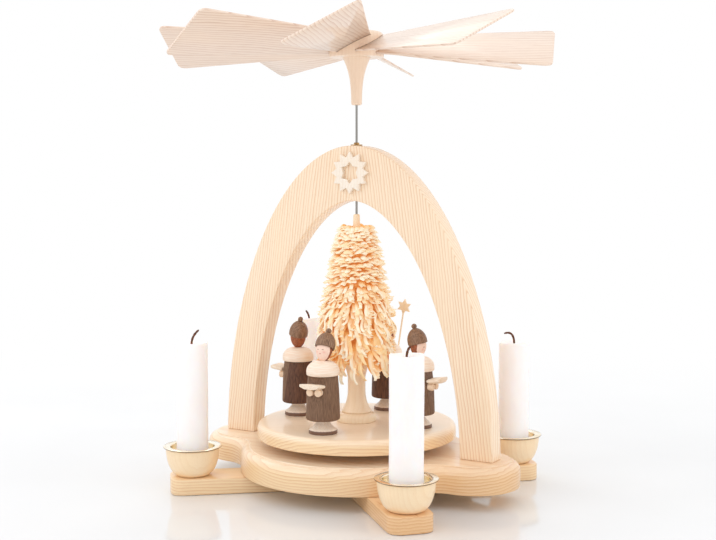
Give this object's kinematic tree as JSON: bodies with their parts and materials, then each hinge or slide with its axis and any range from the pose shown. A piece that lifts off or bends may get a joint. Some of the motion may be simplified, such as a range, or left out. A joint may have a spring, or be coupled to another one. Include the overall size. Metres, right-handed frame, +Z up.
{
  "type": "christmas pyramid",
  "caption": "Candle carousel: a foot cross carries a board arch and candle bowls, and a spindle turns a table of carol figures round a shaving tree under a wheel of slanted paddles.",
  "frame": {"origin": "on the spindle's axis, at the underside of the foot cross", "axes": "+Z up along the spindle; the board arch stands in the XZ plane; the ring star is on its -Y face, the front"},
  "size_m": [0.2659, 0.2666, 0.3209],
  "materials": {
    "ash": "pale open-grained wood, clear matt lacquer",
    "maple": "smooth pale turned wood, clear satin lacquer",
    "walnut": "brown stained wood, matt",
    "brass": "pale polished sheet brass",
    "steel": "bright drawn steel",
    "wax": "white paraffin wax",
    "char": "charred cotton"
  },
  "bodies": {
    "stand": {"foot_bar_lower": "ash", "foot_bar_upper": "ash", "foot_screw_1": "steel", "foot_screw_2": "steel", "base_plate": "ash", "arch_dowel_left": "maple", "arch_dowel_right": "maple", "arch": "ash", "top_bush": "brass", "arch_star": "maple", "pivot_cup": "brass", "candle_bowl_front_left": "maple", "drip_pan_front_left": "brass", "candle_bowl_front_right": "maple", "drip_pan_front_right": "brass", "candle_bowl_back_right": "maple", "drip_pan_back_right": "brass", "candle_bowl_back_left": "maple", "drip_pan_back_left": "brass"},
    "carousel": {"spindle": "steel", "turntable": "ash", "shaving_tree": "maple", "figure_foot_right": "maple", "figure_cape_right": "walnut", "figure_bust_right": "maple", "figure_hat_right": "walnut", "song_book_right": "maple", "figure_foot_back": "maple", "figure_cape_back": "walnut", "figure_bust_back": "maple", "figure_hat_back": "walnut", "hands_back": "maple", "star_staff": "maple", "figure_foot_left": "maple", "figure_cape_left": "walnut", "figure_bust_left": "maple", "figure_hat_left": "walnut", "song_book_left": "maple", "figure_foot_front": "maple", "figure_cape_front": "walnut", "figure_bust_front": "maple", "figure_hat_front": "walnut", "song_book_front": "maple"},
    "rotor": {"rotor_hub": "maple", "paddle_1": "ash", "paddle_2": "ash", "paddle_3": "ash", "paddle_4": "ash", "paddle_5": "ash", "paddle_6": "ash", "paddle_7": "ash", "paddle_8": "ash"},
    "front_left_candle": {"candle_front_left": "wax", "wick_front_left": "char"},
    "front_right_candle": {"candle_front_right": "wax", "wick_front_right": "char"},
    "back_right_candle": {"candle_back_right": "wax", "wick_back_right": "char"},
    "back_left_candle": {"candle_back_left": "wax", "wick_back_left": "char"}
  },
  "joints": [
    {"name": "carousel_spin", "type": "hinge", "parent": "stand", "child": "carousel", "pos_m": [0, 0, 0.0238], "axis": [0, 0, 1], "continuous": true},
    {"name": "rotor_lift", "type": "slide", "parent": "carousel", "child": "rotor", "axis": [0, 0, 1], "range_m": [0, 0.06]},
    {"name": "front_left_candle_lift", "type": "slide", "parent": "stand", "child": "front_left_candle", "axis": [0, 0, 1], "range_m": [0, 0.04]},
    {"name": "front_right_candle_lift", "type": "slide", "parent": "stand", "child": "front_right_candle", "axis": [0, 0, 1], "range_m": [0, 0.04]},
    {"name": "back_right_candle_lift", "type": "slide", "parent": "stand", "child": "back_right_candle", "axis": [0, 0, 1], "range_m": [0, 0.04]},
    {"name": "back_left_candle_lift", "type": "slide", "parent": "stand", "child": "back_left_candle", "axis": [-0.0747, -0.0449, 0.9962], "range_m": [0, 0.04]}
  ]
}
